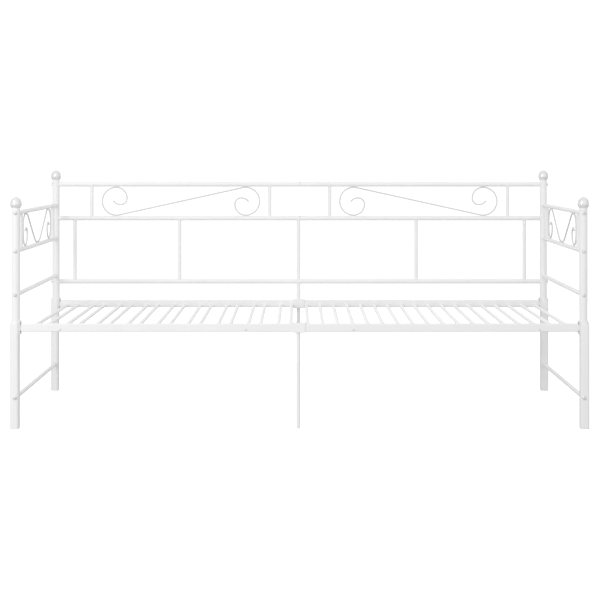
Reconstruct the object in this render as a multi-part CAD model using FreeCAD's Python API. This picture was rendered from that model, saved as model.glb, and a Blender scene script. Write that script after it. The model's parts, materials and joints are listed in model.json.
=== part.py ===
import FreeCAD, Part
import math
import os

from FreeCAD import Vector

# Steel-tube daybed frame for a 200 x 90 cm mattress: two end frames (arms), a scrolled
# backrest and a slatted platform that bolts together from halves.  Millimetres.
# +X runs along the length, +Y points to the backrest, +Z is up.  The origin is on the
# floor, under the middle of the frame.

# ---------------------------------------------------------------- driving dimensions
POST_X = 1015.0             # post axis from the middle, along the length
POST_Y = 465.0              # post axis from the middle, across the depth
POST_DIA = 30.0
POST_WALL = 1.5
FRONT_POST_TOP = 790.0
BACK_POST_TOP = 878.0
KNOB_DIA = 42.0             # finial
KNOB_HEIGHT = 38.5
KNOB_SEAM = 13.0            # widest level above the post

LEG_WIDTH = 32.5            # along X
LEG_DEPTH = 42.0            # along Y
LEG_CORNER = 9.0
LEG_WALL = 1.5
LEG_OFFSET = 3.8            # leg centre lies this much outside the post axis
LEG_TOP = 372.0
SOCKET_PLATE = 3.0          # cover plate on the leg, on which the post stands
SOCKET_RIM = 2.0            # wall of the rim round the foot of the post
SOCKET_RIM_TOP = 386.0
FOOT_FLANGE = 4.0

ARM_TUBE_DIA = 16.0
ARM_TOP_Z = 771.0
ARM_PANEL_Z = 634.0
ARM_LOWER_Z = 478.0
STRETCHER_Z = 112.0
ARM_UPRIGHT_INSET = 97.0    # arm upright axis from the post axis

BACK_TUBE_DIA = 19.0
BACK_TOP_Z = 858.0
BACK_MIDDLE_Z = 717.0
BACK_BOTTOM_Z = 454.0
BACK_JOINT_X = 12.0         # where the two halves of a backrest rail meet
BACK_PLUG = 70.0            # reduced end of the right half, inside the left half
BACK_UPRIGHT_DIA = 15.0
SHORT_UPRIGHT_X = (-866.0, -125.0, 125.0, 866.0)
LONG_UPRIGHT_X = (-936.0, -500.0, 485.0, 936.0)
CENTRE_X = -5.0             # centre post and centre legs
CENTRE_POST_DIA = 16.0
FRONT_CENTRE_LEG_DIA = 14.0
CENTRE_CAP_HEIGHT = 3.0

THIN_WALL = 1.2
WIRE_DIA = 6.0              # scrolls

RAIL_HEIGHT = 30.0
RAIL_DEPTH = 20.0
RAIL_CORNER = 4.0
RAIL_WALL = 1.5
RAIL_Z = 361.0              # middle of the platform rails
RAIL_END_GAP = 5.2          # between a rail's end and its bracket, room for the bolt heads
RAIL_MEET_X = -2.0          # the two halves of a platform rail meet here
SLEEVE_LEFT = -26.0
SLEEVE_RIGHT = 21.5
SLEEVE_WALL = 3.0

SLAT_DIA = 14.0
SLAT_Z = 353.0
SLAT_COUNT = 18             # in each half
RIGHT_SLAT_START = 28.7
RIGHT_SLAT_PITCH = 55.95
LEFT_PAIR_START = -970.4    # the left half has its slats in pairs
LEFT_PAIR_PITCH = 111.5
LEFT_PAIR_GAP = 45.2

BOLT_DIA = 6.0
BOLT_HOLE_DIA = 6.6
TAPPED_HOLE_DIA = 6.2
BOLT_HEAD_DIA = 13.0
BOLT_HEAD_HEIGHT = 5.0
KEY_ACROSS = 5.0            # hexagon socket in the bolt heads
BRACKET_BOLT_Z = (342.5, 379.5)
BRACKET_BOLT_HEAD_DIA = 10.5
BRACKET_BOLT_HEAD_HEIGHT = 4.8
BRACKET_THICKNESS = 3.0
OUTER_HEAD_DIA = 8.6        # upper bracket bolt, outside the post
OUTER_HEAD_HEIGHT = 2.4
NUT_ACROSS = 10.0
NUT_HEIGHT = 3.8
WASHER_DIA = 12.0
WASHER_HEIGHT = 1.0
INSERT_LENGTH = 20.0
INSERT_GAP = 2.5            # from a post's or leg's surface to the insert
SCREW_DIA = 4.0
TAPPED_SCREW_DIA = 4.2
SCREW_HEAD_DIA = 8.5
RAIL_SCREW_X = (192.0, 857.0)
RAIL_SCREW_Z = 355.0
JOINT_SCREW_X = 1.0
JOINT_SCREW_Z = (BACK_TOP_Z, BACK_MIDDLE_Z)

# ------------------------------------------------------------------- derived places
POST_R = POST_DIA / 2
POST_BORE = POST_DIA - 2 * POST_WALL
LEG_X = POST_X + LEG_OFFSET
LEG_INNER_FACE = LEG_X - LEG_WIDTH / 2
BRACKET_FACE = LEG_INNER_FACE - BRACKET_THICKNESS
RAIL_END_X = BRACKET_FACE - RAIL_END_GAP
SOCKET_RIM_R = POST_R + SOCKET_RIM
ARM_R = ARM_TUBE_DIA / 2
BACK_R = BACK_TUBE_DIA / 2
WIRE_R = WIRE_DIA / 2
RAIL_BOTTOM = RAIL_Z - RAIL_HEIGHT / 2
RAIL_TOP = RAIL_Z + RAIL_HEIGHT / 2
SLEEVE_BOTTOM = RAIL_BOTTOM - SLEEVE_WALL
SLEEVE_TOP = RAIL_TOP + SLEEVE_WALL
POST_BOTTOM = LEG_TOP + SOCKET_PLATE

SIDES = (("left", -1), ("right", 1))
ENDS = (("front", -1), ("back", 1))
X_AXIS = Vector(1, 0, 0)
Y_AXIS = Vector(0, 1, 0)
Z_AXIS = Vector(0, 0, 1)

os.makedirs("parts", exist_ok=True)


# --------------------------------------------------------------------- shape helpers
def save(name, *solids):
    """Write one node: a single solid, or a group of separate ones."""
    shape = solids[0] if len(solids) == 1 else Part.makeCompound(list(solids))
    for solid in shape.Solids:
        if not solid.isValid():
            raise ValueError("invalid solid in " + name)
    shape.exportStep("parts/" + name + ".step")
    print(name, len(shape.Solids), round(shape.Volume / 1000.0, 1), "cm3")


def rod(start, end, dia):
    """Solid round bar between two points."""
    run = end - start
    return Part.makeCylinder(dia / 2, run.Length, start, run)


def tube(start, end, dia, wall):
    """Round tube between two points."""
    return rod(start, end, dia).cut(rod(start, end, dia - 2 * wall))


def coped_tube(start, end, dia, wall, *cutters):
    """Round tube whose ends are cut to sit against other round members."""
    result = tube(start, end, dia, wall)
    for cutter in cutters:
        result = result.cut(cutter)
    return largest(result)


def largest(shape):
    """The biggest solid of a cut shape, without its loose offcuts."""
    return max(shape.Solids, key=lambda solid: solid.Volume)


def block(low, high):
    """Rectangular block between two opposite corners."""
    size = high - low
    return Part.makeBox(size.x, size.y, size.z, low)


def upright_block(width, depth, corner, low_z, high_z, centre_x, centre_y):
    """Upright bar with a rounded rectangular section."""
    low = Vector(centre_x - width / 2, centre_y - depth / 2, low_z)
    high = Vector(centre_x + width / 2, centre_y + depth / 2, high_z)
    body = block(low, high)
    upright_edges = [e for e in body.Edges if abs(e.tangentAt(e.FirstParameter).z) > 0.99]
    return body.makeFillet(corner, upright_edges)


def domed_head(seat, direction, dia, height):
    """Round bolt head with a rounded rim, standing on seat along direction."""
    head = Part.makeCylinder(dia / 2, height, seat, direction)
    rim = [e for e in head.Edges if e.Length > dia and
           (e.CenterOfMass - seat).dot(direction) > height / 2]
    return head.makeFillet(height * 0.6, rim)


def hex_prism(top, direction, across, depth):
    """Hexagonal prism that runs down from top, against direction."""
    corners = []
    side = Vector(0, 0, 1) if abs(direction.z) < 0.5 else Vector(1, 0, 0)
    other = direction.cross(side)
    for step in range(7):
        angle = math.radians(60 * step)
        offset = side * math.cos(angle) + other * math.sin(angle)
        corners.append(top + offset * (across / math.sqrt(3)))
    face = Part.Face(Part.makePolygon(corners))
    return face.extrude(direction * -depth)


def side_post(side, end):
    """Solid cylinder of a post's outside, used to cope the tubes that meet it."""
    base = Vector(side * POST_X, end * POST_Y, 0)
    return Part.makeCylinder(POST_R, BACK_POST_TOP, base)


# ------------------------------------------------------------------- posts and legs
def post(side, end):
    """Round post with its bolt holes."""
    top = FRONT_POST_TOP if end < 0 else BACK_POST_TOP
    axis = Vector(side * POST_X, end * POST_Y, 0)
    body = tube(axis + Z_AXIS * POST_BOTTOM, axis + Z_AXIS * top, POST_DIA, POST_WALL)
    for z in (ARM_TOP_Z, ARM_PANEL_Z, ARM_LOWER_Z):
        centre = axis + Z_AXIS * z
        body = body.cut(rod(centre - Y_AXIS * POST_DIA, centre + Y_AXIS * POST_DIA, BOLT_HOLE_DIA))
    if end > 0:
        for z in (BACK_TOP_Z, BACK_MIDDLE_Z, BACK_BOTTOM_Z):
            centre = axis + Z_AXIS * z
            body = body.cut(rod(centre - X_AXIS * POST_DIA, centre + X_AXIS * POST_DIA, BOLT_HOLE_DIA))
    lock = axis + Z_AXIS * BRACKET_BOLT_Z[1]
    return body.cut(rod(lock - X_AXIS * POST_DIA, lock + X_AXIS * POST_DIA, BOLT_HOLE_DIA))


def finial(side, end):
    """Turned knob, widest below its middle, with a plug that fits the post's bore."""
    top = FRONT_POST_TOP if end < 0 else BACK_POST_TOP
    base = Vector(side * POST_X, end * POST_Y, top)
    plug_length = 13.0
    plug_wall = 3.0
    seat_r = POST_R + 1.0
    knob_r = KNOB_DIA / 2
    dome = [(0.943, 0.584), (0.695, 0.831), (0.352, 0.961)]     # shares of radius and height

    def at(radius, height):
        return base + X_AXIS * radius + Z_AXIS * height

    cup = Part.BSplineCurve()
    cup.interpolate([at(seat_r, 0), at(knob_r * 0.933, KNOB_HEIGHT * 0.13), at(knob_r, KNOB_SEAM)])
    crown = Part.BSplineCurve()
    crown.interpolate([at(knob_r, KNOB_SEAM)] +
                      [at(knob_r * r, KNOB_HEIGHT * z) for r, z in dome] + [at(0, KNOB_HEIGHT)],
                      InitialTangent=Z_AXIS, FinalTangent=X_AXIS * -1)
    outline = Part.Wire([cup.toShape(), crown.toShape(),
                         Part.makeLine(at(0, KNOB_HEIGHT), base),
                         Part.makeLine(base, at(seat_r, 0))])
    knob = Part.Face(outline).revolve(base, Z_AXIS, 360)
    plug = tube(base - Z_AXIS * plug_length, base + Z_AXIS * 2.0, POST_BORE, plug_wall)
    return knob.fuse(plug).removeSplitter()


def leg(side, end):
    """Lower leg of rounded rectangular tube."""
    x = side * LEG_X
    y = end * POST_Y
    outer = upright_block(LEG_WIDTH, LEG_DEPTH, LEG_CORNER, FOOT_FLANGE, LEG_TOP, x, y)
    inner = upright_block(LEG_WIDTH - 2 * LEG_WALL, LEG_DEPTH - 2 * LEG_WALL,
                          LEG_CORNER - LEG_WALL, 0, LEG_TOP + 1, x, y)
    body = outer.cut(inner)
    centre = Vector(side * POST_X, y, STRETCHER_Z)
    body = body.cut(rod(centre - Y_AXIS * LEG_DEPTH, centre + Y_AXIS * LEG_DEPTH, BOLT_HOLE_DIA))
    low_bolt = Vector(x, y, BRACKET_BOLT_Z[0])
    return body.cut(rod(low_bolt, low_bolt - X_AXIS * side * LEG_WIDTH, BOLT_HOLE_DIA))


def leg_socket(side, end):
    """Adapter between post and leg: a plug for each, a cover plate and a rim."""
    x = side * LEG_X
    y = end * POST_Y
    axis = Vector(side * POST_X, y, 0)
    spigot_length = 42.0
    plug_length = 40.0
    bore_r = 9.0
    rim_rounding = 1.8
    spigot = upright_block(LEG_WIDTH - 2 * LEG_WALL, LEG_DEPTH - 2 * LEG_WALL,
                           LEG_CORNER - LEG_WALL, LEG_TOP - spigot_length, LEG_TOP, x, y)
    plate = upright_block(LEG_WIDTH, LEG_DEPTH, LEG_CORNER, LEG_TOP, POST_BOTTOM, x, y)
    plug = Part.makeCylinder(POST_BORE / 2, plug_length, axis + Z_AXIS * POST_BOTTOM)
    rim = Part.makeCylinder(SOCKET_RIM_R, SOCKET_RIM_TOP - POST_BOTTOM, axis + Z_AXIS * POST_BOTTOM)
    top_edge = [e for e in rim.Edges if e.Length > SOCKET_RIM_R and e.CenterOfMass.z > SOCKET_RIM_TOP - 1]
    rim = rim.makeFillet(rim_rounding, top_edge)
    rim = rim.cut(Part.makeCylinder(POST_R, plug_length, axis + Z_AXIS * POST_BOTTOM))
    reach = LEG_DEPTH
    inner_side = block(Vector(min(side * LEG_INNER_FACE, side * (LEG_INNER_FACE - reach)),
                              y - reach, POST_BOTTOM - 1),
                       Vector(max(side * LEG_INNER_FACE, side * (LEG_INNER_FACE - reach)),
                              y + reach, SOCKET_RIM_TOP + 1))
    rim = rim.cut(inner_side)
    hollow = Part.makeCylinder(bore_r, plug_length + spigot_length + 10,
                               axis + Z_AXIS * (LEG_TOP - spigot_length - 1))
    body = spigot.fuse([plate, plug, rim]).removeSplitter().cut(hollow)
    low = axis + Z_AXIS * BRACKET_BOLT_Z[0]
    high = axis + Z_AXIS * BRACKET_BOLT_Z[1]
    body = body.cut(rod(low, low - X_AXIS * side * LEG_WIDTH, TAPPED_HOLE_DIA))
    body = body.cut(rod(high - X_AXIS * LEG_WIDTH, high + X_AXIS * LEG_WIDTH, BOLT_HOLE_DIA))
    return largest(body)


def foot_cap(side, end):
    """Plastic cap that plugs the leg and stands on the floor."""
    x = side * LEG_X
    y = end * POST_Y
    plug_height = 22.0
    flange = upright_block(LEG_WIDTH, LEG_DEPTH, LEG_CORNER, 0, FOOT_FLANGE, x, y)
    bottom_edges = [e for e in flange.Edges if e.BoundBox.ZMax < 0.01]
    flange = flange.makeFillet(1.2, bottom_edges)
    plug = upright_block(LEG_WIDTH - 2 * LEG_WALL, LEG_DEPTH - 2 * LEG_WALL,
                         LEG_CORNER - LEG_WALL, FOOT_FLANGE, FOOT_FLANGE + plug_height, x, y)
    wall = 2.5
    pocket = upright_block(LEG_WIDTH - 2 * LEG_WALL - 2 * wall, LEG_DEPTH - 2 * LEG_WALL - 2 * wall,
                           LEG_CORNER - LEG_WALL - wall, FOOT_FLANGE, FOOT_FLANGE + plug_height + 1, x, y)
    return flange.fuse(plug).removeSplitter().cut(pocket)


# --------------------------------------------------------------------------- arms
def cross_tube(side, z, dia):
    """Arm rail between a front and a back post, coped to both."""
    start = Vector(side * POST_X, -POST_Y, z)
    end = Vector(side * POST_X, POST_Y, z)
    return coped_tube(start, end, dia, THIN_WALL, side_post(side, -1), side_post(side, 1))


def stretcher(side):
    """Low tube between the front and the back leg."""
    reach = POST_Y - LEG_DEPTH / 2
    return tube(Vector(side * POST_X, -reach, STRETCHER_Z), Vector(side * POST_X, reach, STRETCHER_Z),
                ARM_TUBE_DIA, THIN_WALL)


def arm_rail_solid(side, z):
    """Outside of an arm rail, used to cope the uprights."""
    return rod(Vector(side * POST_X, -POST_Y, z), Vector(side * POST_X, POST_Y, z), ARM_TUBE_DIA)


def arm_upright(side, end):
    """Short upright between the two rails of the arm panel."""
    y = end * (POST_Y - ARM_UPRIGHT_INSET)
    return coped_tube(Vector(side * POST_X, y, ARM_PANEL_Z), Vector(side * POST_X, y, ARM_TOP_Z),
                      ARM_TUBE_DIA, THIN_WALL,
                      arm_rail_solid(side, ARM_TOP_Z), arm_rail_solid(side, ARM_PANEL_Z))


# -------------------------------------------------------------------------- scrolls
def arc_points(centre, radius, start_deg, end_deg):
    """Start, middle and end point of an arc in its own flat plane."""
    points = []
    for angle in (start_deg, (start_deg + end_deg) / 2, end_deg):
        a = math.radians(angle)
        points.append((centre[0] + radius * math.cos(a), centre[1] + radius * math.sin(a)))
    return points


def bent_wire(pieces, place):
    """Round wire bent along straight and arc pieces; place maps flat points to space."""
    edges = []
    for points in pieces:
        corners = [place(*p) for p in points]
        if len(corners) == 2:
            edges.append(Part.makeLine(*corners))
        else:
            edges.append(Part.Arc(*corners).toShape())
    path = Part.Wire(edges)
    first = edges[0]
    start = place(*pieces[0][0])
    direction = first.tangentAt(first.FirstParameter)
    if (first.valueAt(first.FirstParameter) - start).Length > 0.001:
        direction = first.tangentAt(first.LastParameter) * -1
    section = Part.Wire(Part.makeCircle(WIRE_R, start, direction))
    body = path.makePipeShell([section], True, False)
    return body if body.ShapeType == "Solid" else Part.Solid(body)


def arm_scroll(side, end):
    """Half of the V in an arm panel: a slanted run that curls back into a hook."""
    foot = ARM_PANEL_Z + ARM_R + WIRE_R
    crown = ARM_TOP_Z - ARM_R - WIRE_R
    foot_y = 44.0                       # where the slanted run would meet the foot's level
    crown_y = 227.2                     # and the crown's level
    foot_bend = 100.0
    loop_r = 45.0
    loop_y = 273.0                      # loop centre from the middle of the arm
    inner_r = 43.5
    hook_r = 24.0
    hook_rise = 39.5                    # hook centre above the foot
    slant = math.degrees(math.atan2(crown - foot, crown_y - foot_y))
    setback = math.tan(math.radians(slant / 2))
    foot_touch = foot_y - foot_bend * setback
    crown_touch = crown_y + loop_r * setback
    foot_arc = arc_points((foot_touch, foot + foot_bend), foot_bend, -90, -90 + slant)
    crown_arc = arc_points((crown_touch, crown - loop_r), loop_r, 90 + slant, 90)
    outer_y = loop_y + loop_r
    inner_y = outer_y - 2 * inner_r
    low_z = foot + inner_r
    hook_z = foot + hook_rise
    pieces = [[(WIRE_R + 0.2, foot), foot_arc[0]],      # the end is clear of the twin scroll
              foot_arc,
              [foot_arc[-1], crown_arc[0]],
              crown_arc,
              [crown_arc[-1], (loop_y, crown)],
              arc_points((loop_y, crown - loop_r), loop_r, 90, 0),
              [(outer_y, crown - loop_r), (outer_y, low_z)],
              arc_points((outer_y - inner_r, low_z), inner_r, 0, -180),
              [(inner_y, low_z), (inner_y, hook_z)],
              arc_points((inner_y + hook_r, hook_z), hook_r, 180, 35)]
    return bent_wire(pieces, lambda u, z: Vector(side * POST_X, end * u, z))


def back_scroll(side):
    """S-shaped scroll between the top and the middle rail of the backrest."""
    top = BACK_TOP_Z - BACK_R - WIRE_R
    foot = BACK_MIDDLE_Z + BACK_R + WIRE_R
    loop_r = (top - foot) / 2
    middle_z = (top + foot) / 2
    half_span = 269.5                   # loop centre from the middle of the S
    middle_x = 494.5
    inner_r = 45.0
    curl_r = 27.0
    tail_r = 37.0
    tail_turn = 56.0
    slope = math.degrees(math.asin(loop_r / half_span))
    curl_x = -half_span + inner_r - curl_r
    curl_z = loop_r - inner_r
    half = [arc_points((curl_x, curl_z - curl_r + tail_r), tail_r, -90 - tail_turn, -90),
            arc_points((curl_x, curl_z), curl_r, -90, 0),
            arc_points((-half_span, curl_z), inner_r, 0, 90),
            arc_points((-half_span, 0), loop_r, 90, 270 + slope)]
    other = [[(-u, -z) for u, z in reversed(points)] for points in reversed(half)]
    run = [[half[-1][-1], other[0][0]]]
    return bent_wire(half + run + other,
                     lambda u, z: Vector(side * (middle_x - u), POST_Y, middle_z + z))


# ------------------------------------------------------------------------- backrest
def back_rail_solid(z):
    """Outside of a backrest rail, used to cope the uprights."""
    return rod(Vector(-POST_X, POST_Y, z), Vector(POST_X, POST_Y, z), BACK_TUBE_DIA)


def back_rail(side, z):
    """One half of a backrest rail; the right half plugs into the left one."""
    post_axis = Vector(side * POST_X, POST_Y, z)
    joint = Vector(BACK_JOINT_X, POST_Y, z)
    body = coped_tube(post_axis, joint, BACK_TUBE_DIA, THIN_WALL, side_post(side, 1))
    if side > 0:
        plug_dia = BACK_TUBE_DIA - 2 * THIN_WALL
        plug = tube(joint - X_AXIS * BACK_PLUG, joint + X_AXIS * 10, plug_dia, THIN_WALL)
        body = body.fuse(plug).removeSplitter()
    if z in JOINT_SCREW_Z:
        body = body.cut(rod(*joint_screw_line(z), TAPPED_SCREW_DIA))
    return body


def back_upright(x, low_z, high_z, dia):
    """Upright between two backrest rails, coped to both."""
    return coped_tube(Vector(x, POST_Y, low_z), Vector(x, POST_Y, high_z), dia, THIN_WALL,
                      back_rail_solid(low_z), back_rail_solid(high_z))


def back_centre_post():
    """Centre upright: one length between two rails, one down to the platform sleeve."""
    upper = back_upright(CENTRE_X, BACK_BOTTOM_Z, BACK_MIDDLE_Z, CENTRE_POST_DIA)
    lower = coped_tube(Vector(CENTRE_X, POST_Y, SLEEVE_TOP), Vector(CENTRE_X, POST_Y, BACK_BOTTOM_Z),
                       CENTRE_POST_DIA, THIN_WALL, back_rail_solid(BACK_BOTTOM_Z))
    return upper, lower


# ------------------------------------------------------------------------- platform
def centre_bolt_hole(y):
    """Upright drill through a rail and its sleeve, at the centre leg."""
    return rod(Vector(CENTRE_X, y, SLEEVE_BOTTOM - 1), Vector(CENTRE_X, y, SLEEVE_TOP + 1),
               BOLT_HOLE_DIA)


def rail_bar(end, low_x, high_x, inset):
    """Solid bar with a platform rail's rounded section, made smaller all round by inset."""
    y = end * POST_Y
    body = block(Vector(low_x, y - RAIL_DEPTH / 2 + inset, RAIL_BOTTOM + inset),
                 Vector(high_x, y + RAIL_DEPTH / 2 - inset, RAIL_TOP - inset))
    long_edges = [e for e in body.Edges if abs(e.tangentAt(e.FirstParameter).x) > 0.99]
    return body.makeFillet(RAIL_CORNER - inset, long_edges)


def platform_rail(side, end):
    """Half of a platform side rail, rectangular tube with rounded corners."""
    low_x, high_x = sorted((side * RAIL_END_X, RAIL_MEET_X))
    body = rail_bar(end, low_x, high_x, 0).cut(rail_bar(end, low_x - 1, high_x + 1, RAIL_WALL))
    for x in RAIL_SCREW_X:
        centre = Vector(side * x, end * POST_Y, RAIL_SCREW_Z)
        body = body.cut(rod(centre, centre + Y_AXIS * end * RAIL_DEPTH, TAPPED_SCREW_DIA))
    return body.cut(centre_bolt_hole(end * POST_Y))


def rail_sleeve(end):
    """Outer sleeve in which the two halves of a platform rail meet."""
    y = end * POST_Y
    body = block(Vector(SLEEVE_LEFT, y - RAIL_DEPTH / 2 - SLEEVE_WALL, SLEEVE_BOTTOM),
                 Vector(SLEEVE_RIGHT, y + RAIL_DEPTH / 2 + SLEEVE_WALL, SLEEVE_TOP))
    body = body.makeFillet(2.0, body.Edges)
    hollow = rail_bar(end, SLEEVE_LEFT - 1, SLEEVE_RIGHT + 1, 0)
    return body.cut(hollow).cut(centre_bolt_hole(y))


def rail_bracket(side, end):
    """Saddle plate on the leg, hollowed round the post, with a plug for the rail's end."""
    y = end * POST_Y
    half_width = 15.0
    margin = 7.0                        # plate beyond the bolt holes
    neck = (18.0, 20.0)                 # along Y and Z, between the two bolts
    plug_length = 30.0
    low_z = BRACKET_BOLT_Z[0] - margin
    high_z = BRACKET_BOLT_Z[1] + margin
    xs = sorted((side * LEG_INNER_FACE, side * BRACKET_FACE))
    body = block(Vector(xs[0], y - half_width, low_z), Vector(xs[1], y + half_width, high_z))
    corner_edges = [e for e in body.Edges if abs(e.tangentAt(e.FirstParameter).x) > 0.99]
    above_leg = Part.makeCylinder(POST_R, high_z, Vector(side * POST_X, y, POST_BOTTOM))
    body = body.makeFillet(5.0, corner_edges).cut(above_leg)
    for z in BRACKET_BOLT_Z:
        centre = Vector(side * LEG_X, y, z)
        body = body.cut(rod(centre, centre - X_AXIS * side * LEG_WIDTH, BOLT_HOLE_DIA))
    xs = sorted((side * BRACKET_FACE, side * RAIL_END_X))
    stem = block(Vector(xs[0], y - neck[0] / 2, RAIL_Z - neck[1] / 2),
                 Vector(xs[1], y + neck[0] / 2, RAIL_Z + neck[1] / 2))
    xs = sorted((side * RAIL_END_X, side * (RAIL_END_X - plug_length)))
    return largest(body).fuse([stem, rail_bar(end, xs[0], xs[1], RAIL_WALL)]).removeSplitter()


def slat(x):
    """Round cross bar, its ends cut to sit on the front and the back rail."""
    rails = [rail_bar(end, x - SLAT_DIA, x + SLAT_DIA, 0) for _, end in ENDS]
    return coped_tube(Vector(x, -POST_Y, SLAT_Z), Vector(x, POST_Y, SLAT_Z),
                      SLAT_DIA, THIN_WALL, *rails)


def centre_leg(end, dia):
    """Thin leg under a rail sleeve."""
    y = end * POST_Y
    return tube(Vector(CENTRE_X, y, CENTRE_CAP_HEIGHT), Vector(CENTRE_X, y, SLEEVE_BOTTOM), dia, THIN_WALL)


def centre_leg_cap(end, dia):
    """Round plastic cap under a centre leg."""
    base = Vector(CENTRE_X, end * POST_Y, 0)
    flange = Part.makeCylinder(dia / 2, CENTRE_CAP_HEIGHT, base)
    bottom = [e for e in flange.Edges if e.Length > dia and e.CenterOfMass.z < 0.1]
    flange = flange.makeFillet(1.0, bottom)
    plug = Part.makeCylinder(dia / 2 - THIN_WALL, 18.0, base + Z_AXIS * CENTRE_CAP_HEIGHT)
    return flange.fuse(plug).removeSplitter()


# ------------------------------------------------------------------------ fasteners
def socket_bolt(seat, inward, length, cutter, head_dia, head_height):
    """Bolt with a domed hexagon-socket head; cutter hollows the head's underside."""
    outward = inward * -1
    sink = 3.0 if cutter else 0.0
    head = domed_head(seat + inward * sink, outward, head_dia, head_height + sink)
    if cutter:
        head = head.cut(cutter)
    head = head.cut(hex_prism(seat + outward * head_height, outward, KEY_ACROSS, head_height * 0.55))
    shank = Part.makeCylinder(BOLT_DIA / 2, length, seat, inward)
    return largest(head.fuse(shank))


def threaded_insert(start, direction, dia):
    """Round nut pressed into the end of a tube."""
    end = start + direction * INSERT_LENGTH
    return rod(start, end, dia).cut(rod(start, end, TAPPED_HOLE_DIA))


def side_bolts_and_inserts():
    """Bolts through the posts and legs into the arm rails and stretchers."""
    bolts = []
    inserts = []
    bore = ARM_TUBE_DIA - 2 * THIN_WALL
    for _, side in SIDES:
        for _, end in ENDS:
            inward = Y_AXIS * -end
            for z in (ARM_TOP_Z, ARM_PANEL_Z, ARM_LOWER_Z):
                axis = Vector(side * POST_X, end * POST_Y, z)
                seat = axis - inward * POST_R
                bolts.append(socket_bolt(seat, inward, POST_DIA + INSERT_LENGTH, side_post(side, end),
                                         BOLT_HEAD_DIA, BOLT_HEAD_HEIGHT))
                inserts.append(threaded_insert(axis + inward * (POST_R + INSERT_GAP), inward, bore))
            axis = Vector(side * POST_X, end * POST_Y, STRETCHER_Z)
            seat = axis - inward * (LEG_DEPTH / 2)
            bolts.append(socket_bolt(seat, inward, LEG_DEPTH + INSERT_LENGTH - 4, None,
                                     BOLT_HEAD_DIA, BOLT_HEAD_HEIGHT))
            inserts.append(threaded_insert(axis + inward * (LEG_DEPTH / 2 + INSERT_GAP), inward, bore))
    return bolts, inserts


def back_bolts_and_inserts():
    """Bolts through the back posts into the backrest rails."""
    bolts = []
    inserts = []
    for _, side in SIDES:
        inward = X_AXIS * -side
        for z in (BACK_TOP_Z, BACK_MIDDLE_Z, BACK_BOTTOM_Z):
            axis = Vector(side * POST_X, POST_Y, z)
            bolts.append(socket_bolt(axis - inward * POST_R, inward, POST_DIA + INSERT_LENGTH,
                                     side_post(side, 1), BOLT_HEAD_DIA, BOLT_HEAD_HEIGHT))
            inserts.append(threaded_insert(axis + inward * (POST_R + INSERT_GAP), inward,
                                           BACK_TUBE_DIA - 2 * THIN_WALL))
    return bolts, inserts


def hex_nut(seat, direction):
    """Hexagon nut with its round washer, as one solid on a bolt along direction."""
    washer = Part.makeCylinder(WASHER_DIA / 2, WASHER_HEIGHT, seat, direction)
    top = seat + direction * (WASHER_HEIGHT + NUT_HEIGHT)
    nut = hex_prism(top, direction, NUT_ACROSS, NUT_HEIGHT)
    body = washer.fuse(nut)
    return body.cut(rod(seat - direction, top + direction, TAPPED_HOLE_DIA))


def bracket_bolts():
    """Per rail bracket: a bolt into the leg, and above it one through the post with a nut."""
    pieces = []
    low_z, high_z = BRACKET_BOLT_Z
    outer_x = POST_X + SOCKET_RIM_R
    short_length = 12.0
    through_length = outer_x - (BRACKET_FACE - WASHER_HEIGHT - NUT_HEIGHT)
    for _, side in SIDES:
        inward = X_AXIS * -side
        for _, end in ENDS:
            y = end * POST_Y
            pieces.append(socket_bolt(Vector(side * BRACKET_FACE, y, low_z), inward * -1,
                                      short_length, None, BRACKET_BOLT_HEAD_DIA,
                                      BRACKET_BOLT_HEAD_HEIGHT))
            rim = Part.makeCylinder(SOCKET_RIM_R, BACK_POST_TOP, Vector(side * POST_X, y, 0))
            pieces.append(socket_bolt(Vector(side * outer_x, y, high_z), inward, through_length,
                                      rim, OUTER_HEAD_DIA, OUTER_HEAD_HEIGHT))
            pieces.append(hex_nut(Vector(side * BRACKET_FACE, y, high_z), inward))
    return pieces


def centre_bolts():
    """A bolt holds the front centre leg, a stud joins the back centre leg and post."""
    reach = 16.0
    head_dia = 11.0
    head_height = 2.5
    front_seat = Vector(CENTRE_X, -POST_Y, SLEEVE_TOP)
    front = socket_bolt(front_seat, Z_AXIS * -1, SLEEVE_TOP - SLEEVE_BOTTOM + reach, None,
                        head_dia, head_height)
    back = rod(Vector(CENTRE_X, POST_Y, SLEEVE_BOTTOM - reach),
               Vector(CENTRE_X, POST_Y, SLEEVE_TOP + reach), BOLT_DIA)
    return front, back


def centre_inserts():
    """Threaded inserts in the top of the centre legs and the foot of the centre post."""
    drop = Z_AXIS * -1
    front_bore = FRONT_CENTRE_LEG_DIA - 2 * THIN_WALL
    back_bore = CENTRE_POST_DIA - 2 * THIN_WALL
    return [threaded_insert(Vector(CENTRE_X, -POST_Y, SLEEVE_BOTTOM), drop, front_bore),
            threaded_insert(Vector(CENTRE_X, POST_Y, SLEEVE_BOTTOM), drop, back_bore),
            threaded_insert(Vector(CENTRE_X, POST_Y, SLEEVE_TOP), Z_AXIS, back_bore)]


def joint_screw_line(z):
    """Axis of the screw that locks a backrest rail's joint, slanting in from the front."""
    lean = math.radians(45)
    outward = Vector(0, -math.cos(lean), math.sin(lean))
    axis = Vector(JOINT_SCREW_X, POST_Y, z)
    return axis + outward * (BACK_R * 0.5), axis + outward * (BACK_R + 4)


def joint_screw(z):
    """Pan-head screw through both halves of a backrest rail."""
    inner, outer = joint_screw_line(z)
    outward = (outer - inner).normalize()
    seat = inner + outward * (BACK_R * 0.5)
    shank = rod(inner, seat, SCREW_DIA)
    head = domed_head(seat - outward * 1.5, outward, SCREW_HEAD_DIA, 3.5)
    return largest(head.cut(back_rail_solid(z)).fuse(shank))


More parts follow.
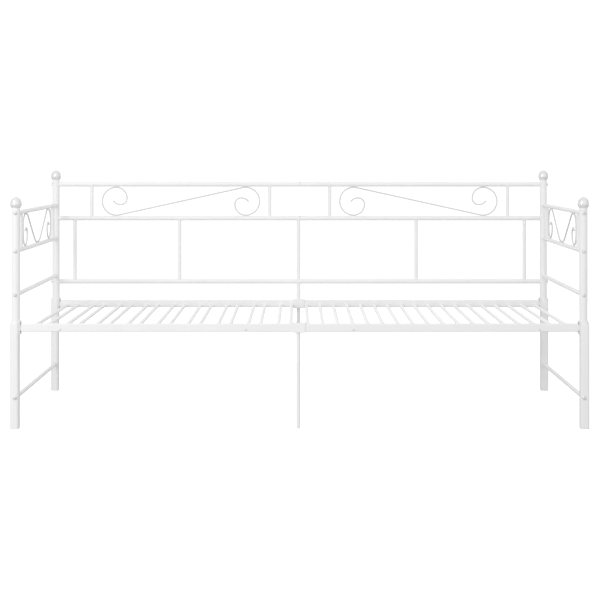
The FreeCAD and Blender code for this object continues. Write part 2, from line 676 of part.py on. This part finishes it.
def rail_screw(side, end, x):
    """Pan-head screw in the outer face of a platform rail."""
    outward = Y_AXIS * end
    seat = Vector(side * x, end * (POST_Y + RAIL_DEPTH / 2), RAIL_SCREW_Z)
    head = domed_head(seat, outward, SCREW_HEAD_DIA, 2.2)
    return largest(head.fuse(rod(seat - outward * 6, seat, SCREW_DIA)))


# -------------------------------------------------------------------- build all nodes
for side_name, side in SIDES:
    for end_name, end in ENDS:
        place = end_name + "_" + side_name
        save("post_" + place, post(side, end))
        save("leg_" + place, leg(side, end))
        save("leg_socket_" + place, leg_socket(side, end))
        save("arm_scroll_" + place, arm_scroll(side, end))
        save("platform_rail_" + place, platform_rail(side, end))
    save("arm_top_rail_" + side_name, cross_tube(side, ARM_TOP_Z, ARM_TUBE_DIA))
    save("arm_panel_rail_" + side_name, cross_tube(side, ARM_PANEL_Z, ARM_TUBE_DIA))
    save("arm_lower_rail_" + side_name, cross_tube(side, ARM_LOWER_Z, ARM_TUBE_DIA))
    save("leg_stretcher_" + side_name, stretcher(side))
    save("arm_uprights_" + side_name, arm_upright(side, -1), arm_upright(side, 1))
    save("back_top_rail_" + side_name, back_rail(side, BACK_TOP_Z))
    save("back_middle_rail_" + side_name, back_rail(side, BACK_MIDDLE_Z))
    save("back_bottom_rail_" + side_name, back_rail(side, BACK_BOTTOM_Z))
    save("back_scroll_" + side_name, back_scroll(side))

for end_name, end in ENDS:
    save("finials_" + end_name, finial(-1, end), finial(1, end))
    save("rail_sleeve_" + end_name, rail_sleeve(end))
    save("rail_brackets_" + end_name, rail_bracket(-1, end), rail_bracket(1, end))

save("foot_caps", *[foot_cap(side, end) for _, side in SIDES for _, end in ENDS])
save("back_short_uprights",
     *[back_upright(x, BACK_MIDDLE_Z, BACK_TOP_Z, BACK_UPRIGHT_DIA) for x in SHORT_UPRIGHT_X])
save("back_long_uprights",
     *[back_upright(x, BACK_BOTTOM_Z, BACK_MIDDLE_Z, BACK_UPRIGHT_DIA) for x in LONG_UPRIGHT_X])
save("back_centre_post", *back_centre_post())
save("centre_leg_front", centre_leg(-1, FRONT_CENTRE_LEG_DIA))
save("centre_leg_back", centre_leg(1, CENTRE_POST_DIA))
save("centre_leg_caps", centre_leg_cap(-1, FRONT_CENTRE_LEG_DIA), centre_leg_cap(1, CENTRE_POST_DIA))

save("slats_left", *[slat(LEFT_PAIR_START + LEFT_PAIR_PITCH * pair + LEFT_PAIR_GAP * member)
                     for pair in range(SLAT_COUNT // 2) for member in (0, 1)])
save("slats_right", *[slat(RIGHT_SLAT_START + RIGHT_SLAT_PITCH * i) for i in range(SLAT_COUNT)])

side_bolts, side_inserts = side_bolts_and_inserts()
back_bolts, back_inserts = back_bolts_and_inserts()
save("arm_bolts", *side_bolts)
save("back_bolts", *back_bolts)
save("bracket_bolts", *bracket_bolts())
save("centre_bolts", *centre_bolts())
save("threaded_inserts", *side_inserts, *back_inserts, *centre_inserts())
save("rail_screws", *[rail_screw(side, end, x) for _, side in SIDES for _, end in ENDS
                      for x in RAIL_SCREW_X],
     *[joint_screw(z) for z in JOINT_SCREW_Z])
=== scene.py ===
import json
import math
import random

import bmesh
import bpy
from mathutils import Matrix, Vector


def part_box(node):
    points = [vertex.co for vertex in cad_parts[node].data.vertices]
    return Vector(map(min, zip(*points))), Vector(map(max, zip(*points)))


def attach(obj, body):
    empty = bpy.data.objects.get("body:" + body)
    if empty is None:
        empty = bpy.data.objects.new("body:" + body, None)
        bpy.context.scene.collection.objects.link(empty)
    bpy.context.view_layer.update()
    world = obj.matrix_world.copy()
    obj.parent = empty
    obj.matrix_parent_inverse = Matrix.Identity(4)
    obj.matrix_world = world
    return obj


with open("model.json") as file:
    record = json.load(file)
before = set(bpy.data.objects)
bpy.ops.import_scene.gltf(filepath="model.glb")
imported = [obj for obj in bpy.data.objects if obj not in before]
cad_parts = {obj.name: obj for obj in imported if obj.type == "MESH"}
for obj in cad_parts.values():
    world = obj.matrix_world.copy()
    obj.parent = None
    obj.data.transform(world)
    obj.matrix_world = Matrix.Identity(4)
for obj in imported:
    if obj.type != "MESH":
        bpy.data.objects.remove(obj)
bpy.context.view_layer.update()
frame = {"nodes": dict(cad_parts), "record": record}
nodes = frame["nodes"]
scene = bpy.context.scene
ROOT = "root"

FRAME_WHITE = (0.87, 0.87, 0.87)
# The slats share the frame's white coat; this lighter white is painted light, standing in for the
# light from above.
SLAT_WHITE_WITH_PAINTED_LIGHT = (0.96, 0.96, 0.96)
# The scroll wires share the frame's white coat; this darker grey is painted shade that darkens the
# thin wires.
SCROLL_WHITE_WITH_PAINTED_SHADE = (0.70, 0.70, 0.70)
FINIAL_WHITE = (0.80, 0.80, 0.80)
FOOT_WHITE = (0.86, 0.86, 0.85)
BOLT_ZINC = (0.86, 0.86, 0.87)
SCREW_ZINC = (0.88, 0.88, 0.89)
INNER_ZINC = (0.66, 0.67, 0.68)


# ------------------------------------------------------------------ node-based materials
class Graph:
    """Small helper that adds and links shader nodes of one material."""

    def __init__(self, name):
        self.material = bpy.data.materials.new(name)
        self.material.use_nodes = True
        self.tree = self.material.node_tree
        self.shader = self.tree.nodes["Principled BSDF"]
        coordinates = self.tree.nodes.new("ShaderNodeTexCoord")
        self.place = coordinates.outputs["Object"]

    def add(self, kind, **inputs):
        """A new node; each keyword is one of its inputs, with _ for a space."""
        node = self.tree.nodes.new(kind)
        for key, value in inputs.items():
            socket = node.inputs[key.replace("_", " ")]
            if isinstance(value, bpy.types.NodeSocket):
                self.tree.links.new(value, socket)
            else:
                socket.default_value = value
        return node

    def set(self, **inputs):
        """Constant values of the shader's own inputs, with _ for a space."""
        for key, value in inputs.items():
            self.shader.inputs[key.replace("_", " ")].default_value = value

    def link(self, output, socket_name):
        self.tree.links.new(output, self.shader.inputs[socket_name])

    def noise(self, scale, detail):
        return self.add("ShaderNodeTexNoise", Vector=self.place, Scale=scale,
                        Detail=detail).outputs["Fac"]

    def tone(self, fac, color, darkest, low, high):
        """Base colour that falls to a part of itself where fac is low."""
        node = self.add("ShaderNodeValToRGB", Fac=fac)
        dark = tuple(c * darkest for c in color)
        for element, place, shade in zip(node.color_ramp.elements, (low, high), (dark, color)):
            element.position = place
            element.color = (*shade, 1.0)
        self.link(node.outputs["Color"], "Base Color")

    def wear(self, fac, roughness, smoother, rougher):
        """Roughness that varies with fac, between a little less and a little more."""
        node = self.add("ShaderNodeMapRange", Value=fac, From_Min=0.3, From_Max=0.7,
                        To_Min=roughness - smoother, To_Max=roughness + rougher)
        self.link(node.outputs["Result"], "Roughness")

    def bump(self, height, strength, distance):
        return self.add("ShaderNodeBump", Height=height, Strength=strength, Distance=distance)


def powder_coat(name, color, roughness, specular):
    """White powder coat: faint orange peel, soft tone drift, duller rubbed patches."""
    g = Graph(name)
    g.tone(g.noise(scale=7.0, detail=4.0), color, darkest=0.975, low=0.35, high=0.65)
    g.wear(g.noise(scale=38.0, detail=5.0), roughness, smoother=0.05, rougher=0.07)
    peel = g.bump(g.noise(scale=420.0, detail=2.0), strength=0.16, distance=0.00012)
    fine = g.bump(g.noise(scale=1500.0, detail=1.0), strength=0.10, distance=0.00005)
    g.tree.links.new(fine.outputs["Normal"], peel.inputs["Normal"])
    g.link(peel.outputs["Normal"], "Normal")
    g.set(IOR=1.5, Specular_IOR_Level=specular)
    return g.material


def zinc(name, color, roughness):
    """Bright zinc plate with fine drawing marks."""
    g = Graph(name)
    g.tone(g.noise(scale=260.0, detail=4.0), color, darkest=0.86, low=0.3, high=0.7)
    g.wear(g.noise(scale=900.0, detail=3.0), roughness, smoother=0.07, rougher=0.08)
    marks = g.bump(g.noise(scale=1400.0, detail=2.0), strength=0.2, distance=0.00005)
    g.link(marks.outputs["Normal"], "Normal")
    g.set(Metallic=0.85)
    return g.material


def moulded_plastic(name, color, roughness, grain, **finish):
    """White moulded plastic with a fine spark-eroded grain of the given scale."""
    g = Graph(name)
    g.tone(g.noise(scale=30.0, detail=4.0), color, darkest=0.96, low=0.3, high=0.7)
    g.wear(g.noise(scale=90.0, detail=3.0), roughness, smoother=0.05, rougher=0.06)
    spark = g.bump(g.noise(scale=grain, detail=2.0), strength=0.15, distance=0.00006)
    g.link(spark.outputs["Normal"], "Normal")
    g.set(IOR=1.46, **finish)
    return g.material


materials = {
    "frame_paint": powder_coat("frame_powder_coat", FRAME_WHITE, roughness=0.34, specular=0.35),
    # slats: the frame's coat made lighter, a painted highlight from the light above
    "slat_paint": powder_coat("slat_powder_coat_painted_light", SLAT_WHITE_WITH_PAINTED_LIGHT, roughness=0.5, specular=0.3),
    # scroll wires: the frame's coat made darker, painted shade on the thin wires
    "scroll_paint": powder_coat("scroll_powder_coat_painted_shade", SCROLL_WHITE_WITH_PAINTED_SHADE, roughness=0.34, specular=0.35),
    "finial_plastic": moulded_plastic("finial_plastic", FINIAL_WHITE, roughness=0.14, grain=500.0,
                                      Metallic=0.30, Coat_Weight=1.0, Coat_Roughness=0.06),
    "foot_plastic": moulded_plastic("foot_plastic", FOOT_WHITE, roughness=0.45, grain=900.0),
    "bolt_zinc": zinc("bolt_zinc", BOLT_ZINC, roughness=0.30),
    "screw_zinc": zinc("screw_zinc", SCREW_ZINC, roughness=0.34),
    "inner_steel": zinc("inner_steel", INNER_ZINC, roughness=0.30),
}

slot_of = {row["node"]: row["material_slot"] for row in frame["record"]["subparts"]}
for name, thing in nodes.items():
    thing.data.materials.clear()
    thing.data.materials.append(materials[slot_of[name]])


# ------------------------------------------------------------------------- fine pieces
chance = random.Random(7)
BOTH = (-1, 1)
SIDES = ("left", "right")
ENDS = ("front", "back")

BEAD_RADIUS = 0.0011            # weld bead round a tube's end
BEAD_STEPS = 28
BEAD_SIDES = 6
BEAD_RIPPLES = 7                # waves in a bead's thickness, and their height
BEAD_RIPPLE = 0.16
BEAD_UNEVEN = (0.92, 1.08)

TACK_LONG = 0.012               # weld spot of a scroll, along its rail, across it and up
TACK_SHORT = 0.0042
TACK_HEIGHT = 0.0034
TACK_ROWS = 7
TACK_COLUMNS = 12
TACK_UNEVEN = (0.95, 1.05)

RAIL_CORNER = 0.004             # rounding of the platform rails' section
SAME_POINT = 1e-6               # closer vertices belong to one solid
TOUCH_DEPTH = 0.0003            # a scroll this close to its highest or lowest level touches
TOUCH_GAP = 0.03                # touching stretches further apart than this are separate

COLLAR_THICKNESS = 0.0009       # bead under a finial
COLLAR_STEPS = 40
COLLAR_SIDES = 8

SEAT_GAP = 0.0006               # from a bolt head's edge to the middle of its bead
SAME_LEVEL = 0.01


def add_piece(name, slot, vertices, faces):
    """A fine piece that is fixed to the frame and takes one of its materials."""
    mesh = bpy.data.meshes.new(name)
    mesh.from_pydata(vertices, [], faces)
    mesh.validate()
    mesh.polygons.foreach_set("use_smooth", [True] * len(mesh.polygons))
    mesh.materials.append(materials[slot])
    piece = bpy.data.objects.new(name, mesh)
    scene.collection.objects.link(piece)
    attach(piece, ROOT)


def solid_boxes(node):
    """Lowest and highest corner of each separate solid in a node, from left to right."""
    mesh = bmesh.new()
    mesh.from_mesh(nodes[node].data)
    bmesh.ops.remove_doubles(mesh, verts=mesh.verts, dist=SAME_POINT)
    waiting = set(mesh.verts)
    boxes = []
    while waiting:
        group = [waiting.pop()]
        for vertex in group:
            for edge in vertex.link_edges:
                other = edge.other_vert(vertex)
                if other in waiting:
                    waiting.discard(other)
                    group.append(other)
        places = [vertex.co for vertex in group]
        boxes.append((Vector([min(p[i] for p in places) for i in range(3)]),
                      Vector([max(p[i] for p in places) for i in range(3)])))
    mesh.free()
    return sorted(boxes, key=lambda box: (box[0].x, box[0].y, box[0].z))


def centre_and_size(box):
    low, high = box
    return (low + high) / 2, high - low


class Beads:
    """Collects closed weld beads and weld spots into one mesh."""

    def __init__(self):
        self.vertices = []
        self.faces = []

    def ring(self, path, middle):
        """A bead along a closed path, a little uneven, as a hand-laid weld is."""
        first = len(self.vertices)
        count = len(path)
        phase = chance.uniform(0, math.tau)
        for i, point in enumerate(path):
            ahead = (path[(i + 1) % count] - path[i - 1]).normalized()
            outward = (point - middle).normalized()
            across = ahead.cross(outward).normalized()
            outward = across.cross(ahead)
            ripple = 1 + BEAD_RIPPLE * math.sin(phase + BEAD_RIPPLES * math.tau * i / count)
            radius = BEAD_RADIUS * ripple * chance.uniform(*BEAD_UNEVEN)
            for k in range(BEAD_SIDES):
                turn = math.tau * k / BEAD_SIDES
                self.vertices.append(point + outward * radius * math.cos(turn)
                                     + across * radius * math.sin(turn))
        for i in range(count):
            here = first + i * BEAD_SIDES
            there = first + (i + 1) % count * BEAD_SIDES
            for k in range(BEAD_SIDES):
                following = (k + 1) % BEAD_SIDES
                self.faces.append((here + k, here + following, there + following, there + k))

    def tack(self, middle, size):
        """A small rounded weld spot with the given sizes along X, Y and Z."""
        first = len(self.vertices)
        for row in range(1, TACK_ROWS):
            fall = math.pi * row / TACK_ROWS
            for column in range(TACK_COLUMNS):
                turn = math.tau * column / TACK_COLUMNS
                swell = chance.uniform(*TACK_UNEVEN) / 2
                self.vertices.append(middle + Vector((
                    size[0] * swell * math.sin(fall) * math.cos(turn),
                    size[1] * swell * math.sin(fall) * math.sin(turn),
                    size[2] * swell * math.cos(fall))))
        for row in range(TACK_ROWS - 2):
            for column in range(TACK_COLUMNS):
                following = (column + 1) % TACK_COLUMNS
                a = first + row * TACK_COLUMNS
                b = a + TACK_COLUMNS
                self.faces.append((a + column, b + column, b + following, a + following))
        self.faces.append(tuple(first + column for column in range(TACK_COLUMNS)))
        last = first + (TACK_ROWS - 2) * TACK_COLUMNS
        self.faces.append(tuple(last + column for column in reversed(range(TACK_COLUMNS))))

    def finish(self, name, slot):
        add_piece(name, slot, self.vertices, self.faces)


def saddle(x, y, rail_z, rail_radius, tube_radius, up, along_x):
    """Closed line where an upright round tube meets a round rail."""
    path = []
    for i in range(BEAD_STEPS):
        turn = math.tau * i / BEAD_STEPS
        along = tube_radius * math.cos(turn)
        aside = tube_radius * math.sin(turn)
        rise = math.sqrt(max(rail_radius ** 2 - aside ** 2, 0))
        place = (x + along, y + aside) if along_x else (x + aside, y + along)
        path.append(Vector((*place, rail_z + up * rise)))
    return path


def weld_uprights(beads, upright_node, low_rail, high_rail, along_x):
    """Beads round both ends of every upright of a node."""
    for box in solid_boxes(upright_node):
        centre, size = centre_and_size(box)
        for rail, up in ((low_rail, 1), (high_rail, -1)):
            rail_centre, rail_size = centre_and_size(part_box(rail))
            beads.ring(saddle(centre.x, centre.y, rail_centre.z, rail_size.z / 2, size.x / 2,
                              up, along_x), Vector((centre.x, centre.y, rail_centre.z)))


def weld_backrest():
    beads = Beads()
    weld_uprights(beads, "back_short_uprights", "back_middle_rail_left", "back_top_rail_left", True)
    weld_uprights(beads, "back_long_uprights", "back_bottom_rail_left", "back_middle_rail_left",
                  True)
    beads.finish("backrest_welds", "frame_paint")


def weld_arms():
    beads = Beads()
    for side in SIDES:
        weld_uprights(beads, "arm_uprights_" + side, "arm_panel_rail_" + side,
                      "arm_top_rail_" + side, False)
    beads.finish("arm_welds", "frame_paint")


def weld_slats():
    """A bead round each slat's end, on the inner face of its platform rail."""
    rail_centre, rail_size = centre_and_size(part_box("platform_rail_back_left"))
    inner_face = rail_centre.y - rail_size.y / 2
    corner_z = rail_centre.z - rail_size.z / 2 + RAIL_CORNER
    beads = Beads()
    for node in ("slats_left", "slats_right"):
        for box in solid_boxes(node):
            centre, size = centre_and_size(box)
            for end in BOTH:
                path = []
                for i in range(BEAD_STEPS):
                    turn = math.tau * i / BEAD_STEPS
                    z = centre.z + size.x / 2 * math.sin(turn)
                    drop = min(max(corner_z - z, 0), RAIL_CORNER)
                    recess = RAIL_CORNER - math.sqrt(RAIL_CORNER ** 2 - drop ** 2)
                    path.append(Vector((centre.x + size.x / 2 * math.cos(turn),
                                        end * (inner_face + recess), z)))
                beads.ring(path, Vector((centre.x, end * inner_face, centre.z)))
    beads.finish("slat_welds", "slat_paint")


def touching_places(node, axis):
    """Middles of the stretches where a scroll runs along the rail above and below it."""
    points = [vertex.co for vertex in nodes[node].data.vertices]
    found = []
    for up in BOTH:
        edge = max(up * point.z for point in points)
        near = sorted((p for p in points if up * p.z > edge - TOUCH_DEPTH),
                      key=lambda p: p[axis])
        group = [near[0]]
        for point in near[1:] + [None]:
            if point is None or point[axis] - group[-1][axis] > TOUCH_GAP:
                middle = (group[0] + group[-1]) / 2
                found.append(Vector((middle.x, middle.y, up * edge)))
                group = []
            if point is not None:
                group.append(point)
    return found


def weld_scrolls():
    """Weld spots where the scroll wires touch the rails."""
    beads = Beads()
    for side in SIDES:
        for place in touching_places("back_scroll_" + side, 0):
            beads.tack(place, (TACK_LONG, TACK_SHORT, TACK_HEIGHT))
        for end in ENDS:
            for place in touching_places("arm_scroll_" + end + "_" + side, 1):
                beads.tack(place, (TACK_SHORT, TACK_LONG, TACK_HEIGHT))
    beads.finish("scroll_welds", "frame_paint")


def lathe(name, slot, profile, places):
    """Turned rings, one at each place, from an outline of radius and height."""
    vertices = []
    faces = []
    count = len(profile)
    for place in places:
        first = len(vertices)
        for i in range(COLLAR_STEPS):
            turn = math.tau * i / COLLAR_STEPS
            for radius, height in profile:
                vertices.append((place.x + radius * math.cos(turn),
                                 place.y + radius * math.sin(turn), place.z + height))
        for i in range(COLLAR_STEPS):
            here = first + i * count
            there = first + (i + 1) % COLLAR_STEPS * count
            for k in range(count):
                following = (k + 1) % count
                faces.append((here + k, there + k, there + following, here + following))
    add_piece(name, slot, vertices, faces)


def ring_outline(radius, thickness):
    """Round section of a ring, as radius and height pairs."""
    return [(radius + thickness * math.cos(math.tau * k / COLLAR_SIDES),
             thickness * math.sin(math.tau * k / COLLAR_SIDES)) for k in range(COLLAR_SIDES)]


def finial_collars():
    """A thin bead under each knob, where its flange sits on the post."""
    for end in ENDS:
        places = []
        for side in SIDES:
            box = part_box("post_" + end + "_" + side)
            centre, size = centre_and_size(box)
            places.append(Vector((centre.x, centre.y, box[1].z)))
        outline = ring_outline(size.x / 2 + COLLAR_THICKNESS / 2, COLLAR_THICKNESS)
        lathe("finial_collars_" + end, "finial_plastic", outline, places)


def bolt_seats():
    """An uneven bead of paint round the head of each stretcher bolt, on the leg's face."""
    heads = [centre_and_size(box) for box in solid_boxes("arm_bolts")]
    lowest = min(centre.z for centre, size in heads)
    leg_centre, leg_size = centre_and_size(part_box("leg_back_left"))
    leg_face = abs(leg_centre.y) + leg_size.y / 2
    beads = Beads()
    for centre, size in heads:
        if centre.z - lowest > SAME_LEVEL:
            continue
        face_y = math.copysign(leg_face, centre.y)
        radius = size.x / 2 + SEAT_GAP
        path = []
        for i in range(BEAD_STEPS):
            turn = math.tau * i / BEAD_STEPS
            path.append(Vector((centre.x + radius * math.cos(turn), face_y,
                                centre.z + radius * math.sin(turn))))
        beads.ring(path, Vector((centre.x, face_y, centre.z)))
    beads.finish("leg_bolt_seats", "frame_paint")


weld_backrest()
weld_arms()
weld_slats()
weld_scrolls()
finial_collars()
bolt_seats()


# ------------------------------------------------------------------------- the setting
SEEN_WHITE = 1.15               # what the camera sees of floor and surround
FLOOR_LIGHT = 0.36              # what the floor itself gives to the object
FLOOR_SIZE = 9.0
FLOOR_GREY = (0.25, 0.25, 0.25, 1)
FLOOR_ROUGHNESS = 0.9
WHITE = (1, 1, 1, 1)
WORLD_SIDE = 0.70               # light from the surround in each direction
WORLD_FRONT = 1.10
WORLD_BACK = 0.95
WORLD_TOP = 0.85
FRONT_TO_SIDE = (-0.9, -0.1)    # where one light fades into the next, as Y of a direction
SIDE_TO_BACK = (0.1, 0.8)
LEVEL_TO_TOP = (0.45, 0.85)     # the same as Z
KEY_PLACE = (-2.8, -3.9, 2.2)
KEY_TARGET = (0, 0, 0.5)
KEY_SIZE = (1.6, 2.2)
KEY_POWER = 56


def white_floor():
    """Floor that the camera sees as pure white, and that lights the object less."""
    h = FLOOR_SIZE / 2
    mesh = bpy.data.meshes.new("floor")
    mesh.from_pydata([(-h, -h, 0), (h, -h, 0), (h, h, 0), (-h, h, 0)], [], [(0, 1, 2, 3)])
    floor = bpy.data.objects.new("floor", mesh)
    scene.collection.objects.link(floor)
    g = Graph("floor_white")
    g.set(Base_Color=FLOOR_GREY, Roughness=FLOOR_ROUGHNESS, Specular_IOR_Level=0.0,
          Emission_Color=WHITE)
    seen = g.add("ShaderNodeLightPath").outputs["Is Camera Ray"]
    strength = g.add("ShaderNodeMapRange", Value=seen, To_Min=FLOOR_LIGHT, To_Max=SEEN_WHITE)
    g.link(strength.outputs["Result"], "Emission Strength")
    mesh.materials.append(g.material)


def studio_world():
    """White surround: brightest in front of the object, less behind and above, least beside."""
    world = bpy.data.worlds.new("studio")
    world.use_nodes = True
    tree = world.node_tree
    background = tree.nodes["Background"]
    direction = tree.nodes.new("ShaderNodeSeparateXYZ")
    tree.links.new(tree.nodes.new("ShaderNodeTexCoord").outputs["Generated"], direction.inputs[0])

    def put(socket, value):
        if isinstance(value, bpy.types.NodeSocket):
            tree.links.new(value, socket)
        else:
            socket.default_value = value

    def fade(value, stretch, start, end):
        node = tree.nodes.new("ShaderNodeMapRange")
        node.interpolation_type = "SMOOTHSTEP"
        for key, number in (("Value", value), ("From Min", stretch[0]), ("From Max", stretch[1]),
                            ("To Min", start), ("To Max", end)):
            put(node.inputs[key], number)
        return node.outputs["Result"]

    front = fade(direction.outputs["Y"], FRONT_TO_SIDE, WORLD_FRONT, WORLD_SIDE)
    level = fade(direction.outputs["Y"], SIDE_TO_BACK, front, WORLD_BACK)
    whole = fade(direction.outputs["Z"], LEVEL_TO_TOP, level, WORLD_TOP)
    seen = tree.nodes.new("ShaderNodeLightPath").outputs["Is Camera Ray"]
    put(background.inputs["Strength"], fade(seen, (0, 1), whole, SEEN_WHITE))
    background.inputs["Color"].default_value = WHITE
    scene.world = world


def key_light():
    """Large soft lamp, high on the left in front."""
    data = bpy.data.lights.new("key_light", "AREA")
    data.shape = "RECTANGLE"
    data.size, data.size_y = KEY_SIZE
    data.energy = KEY_POWER
    light = bpy.data.objects.new("key_light", data)
    light.location = KEY_PLACE
    aim = Vector(KEY_TARGET) - Vector(KEY_PLACE)
    light.rotation_euler = aim.to_track_quat("-Z", "Y").to_euler()
    scene.collection.objects.link(light)


white_floor()
studio_world()
key_light()


# ------------------------------------------------------------------------- the camera
SENSOR = 36.0
FOCAL_IN_FRAMES = 2.632             # focal length over the frame's width
CAMERA_HEIGHT = 0.9676
CAMERA_DISTANCE = 5.65              # from the front posts' plane
SHIFT_X = 0.0006
SHIFT_Y = -0.2367                   # the camera is level, with its frame shifted down


def front_camera():
    post_low, post_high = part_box("post_front_left")
    front_plane = (post_low.y + post_high.y) / 2
    data = bpy.data.cameras.new("camera")
    data.sensor_width = SENSOR
    data.lens = FOCAL_IN_FRAMES * SENSOR
    data.shift_x = SHIFT_X
    data.shift_y = SHIFT_Y
    camera = bpy.data.objects.new("camera", data)
    camera.location = (0, front_plane - CAMERA_DISTANCE, CAMERA_HEIGHT)
    camera.rotation_euler = (math.radians(90), 0, 0)
    scene.collection.objects.link(camera)
    scene.camera = camera


front_camera()
scene.view_settings.view_transform = "Standard"
scene.view_settings.look = "None"
